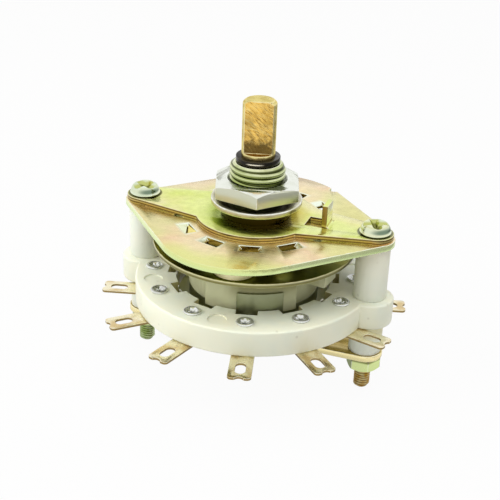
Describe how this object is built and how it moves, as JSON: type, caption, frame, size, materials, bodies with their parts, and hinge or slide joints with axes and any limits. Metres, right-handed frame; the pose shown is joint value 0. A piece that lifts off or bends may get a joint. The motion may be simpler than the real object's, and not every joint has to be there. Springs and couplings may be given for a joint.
{
  "type": "rotary wafer switch",
  "caption": "Open-frame rotary wafer switch: a flatted shaft in a threaded panel bushing turns a sprung detent and a moulded rotor inside a wafer ringed with riveted solder tags.",
  "frame": {"origin": "on the shaft's axis, at the top face of the bushing plate", "axes": "+Z along the shaft towards its tip, +X towards the tie screw on the locating tab's side"},
  "size_m": [0.0556, 0.0556, 0.0524],
  "materials": {
    "shaft_bronze": "turned brass, worn on the knob flat",
    "black_clip": "blackened spring steel",
    "pale_zinc": "pale green-yellow zinc plate",
    "yellow_zinc": "yellow chromated zinc plate",
    "pink_zinc": "pink-gold chromated zinc plate",
    "nickel": "bright nickel plate",
    "olive_zinc": "dull chromated zinc plate",
    "spring_brass": "rolled spring brass",
    "silver_contact": "silver-plated brass",
    "tinned_rivet": "tinned brass",
    "tag_brass": "rolled brass",
    "ivory": "matt moulded ivory plastic"
  },
  "bodies": {
    "frame": {"bushing": "pale_zinc", "bushing_plate": "yellow_zinc", "index_plate": "pink_zinc", "panel_nut": "nickel", "panel_washer": "nickel", "wafer": "ivory", "upper_spacer_left": "ivory", "upper_spacer_right": "ivory", "lower_spacer_left": "ivory", "lower_spacer_right": "ivory", "rear_strap": "yellow_zinc", "tie_screws": "yellow_zinc", "tie_nuts": "yellow_zinc", "terminal_rivets": "tinned_rivet", "terminal_01": "tag_brass", "terminal_02": "tag_brass", "terminal_03": "tag_brass", "terminal_04": "tag_brass", "terminal_05": "tag_brass", "terminal_06": "tag_brass", "terminal_07": "tag_brass", "terminal_08": "tag_brass", "terminal_09": "tag_brass", "terminal_10": "tag_brass", "terminal_11": "tag_brass", "terminal_12": "tag_brass"},
    "rotor": {"shaft": "shaft_bronze", "shaft_clip": "black_clip", "detent_disc": "olive_zinc", "detent_spring": "spring_brass", "detent_balls": "nickel", "rotor": "ivory", "rotor_contact": "silver_contact"}
  },
  "joints": [
    {"name": "shaft_turn", "type": "hinge", "parent": "frame", "child": "rotor", "pos_m": [0, 0, 0], "axis": [0, 0, 1], "range_deg": [-150, 150]}
  ]
}
